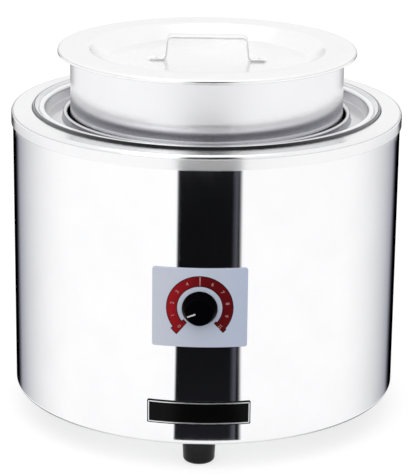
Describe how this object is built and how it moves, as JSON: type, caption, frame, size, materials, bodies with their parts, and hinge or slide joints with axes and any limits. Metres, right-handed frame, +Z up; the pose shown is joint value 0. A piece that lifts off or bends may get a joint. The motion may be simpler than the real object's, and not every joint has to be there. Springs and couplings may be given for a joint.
{
  "type": "soup kettle",
  "caption": "Round polished steel soup kettle with a control knob on the front, a water well with heater, a lift-out pot and a dished lid with a strap handle.",
  "frame": {"origin": "middle of the kettle at the level of the counter that its feet stand on", "axes": "+Z up along the pot's axis, -Y out of the front where the knob is, +X to the right seen from the front"},
  "size_m": [0.3432, 0.367, 0.3375],
  "materials": {
    "polished_steel": "mirror polished",
    "deck_steel": "fine satin",
    "well_steel": "bright pressed",
    "pot_steel": "satin",
    "lid_steel": "bright satin",
    "plain_steel": "mill finish",
    "zinc_fasteners": "zinc plated",
    "heater_sheath": "heat-dulled",
    "brass_screws": "plain",
    "copper_bulb": "plain",
    "foot_rubber": "moulded",
    "seal_rubber": "moulded",
    "wire_cover": "plain",
    "mineral_wool": "loose mat",
    "knob_plastic": "moulded",
    "pointer_white": "inlaid",
    "dial_metal": "printed satin",
    "name_metal": "black with a bright border",
    "case_plastic": "moulded",
    "block_ceramic": "plain",
    "gland_plastic": "moulded"
  },
  "bodies": {
    "kettle_body": {"outer_shell": "polished_steel", "top_cover": "deck_steel", "well_pan": "well_steel", "well_seal": "seal_rubber", "seal_band": "well_steel", "insulation_blanket": "mineral_wool", "heating_element": "heater_sheath", "element_clamp": "plain_steel", "heat_shield": "plain_steel", "tie_rod": "zinc_fasteners", "tie_nuts": "zinc_fasteners", "base_plate": "plain_steel", "foot_front": "foot_rubber", "foot_rear_left": "foot_rubber", "foot_rear_right": "foot_rubber", "foot_screws": "zinc_fasteners", "foot_nuts": "zinc_fasteners", "thermostat_bracket": "plain_steel", "thermostat_body": "case_plastic", "thermostat_screws": "zinc_fasteners", "dial_plate": "dial_metal", "name_plate": "name_metal", "thermostat_bulb": "copper_bulb", "bulb_clip": "plain_steel", "thermal_cutout": "case_plastic", "terminal_block": "block_ceramic", "terminal_screws": "brass_screws", "earth_terminal": "zinc_fasteners", "lead_wires": "wire_cover", "cord_gland": "gland_plastic", "gland_nut": "gland_plastic"},
    "control": {"control_knob": "knob_plastic", "knob_pointer": "pointer_white", "thermostat_shaft": "zinc_fasteners"},
    "pot_assembly": {"soup_pot": "pot_steel"},
    "lid_assembly": {"lid": "lid_steel", "lid_handle": "lid_steel", "handle_rivets": "lid_steel"}
  },
  "joints": [
    {"name": "knob_turn", "type": "hinge", "parent": "kettle_body", "child": "control", "pos_m": [0, -0.172, 0.1447], "axis": [0, 1, 0], "range_deg": [-23, 245]},
    {"name": "pot_lift", "type": "slide", "parent": "kettle_body", "child": "pot_assembly", "axis": [0, 0, 1], "range_m": [0, 0.25]},
    {"name": "lid_lift", "type": "slide", "parent": "pot_assembly", "child": "lid_assembly", "axis": [0, 0, 1], "range_m": [0, 0.08]}
  ]
}
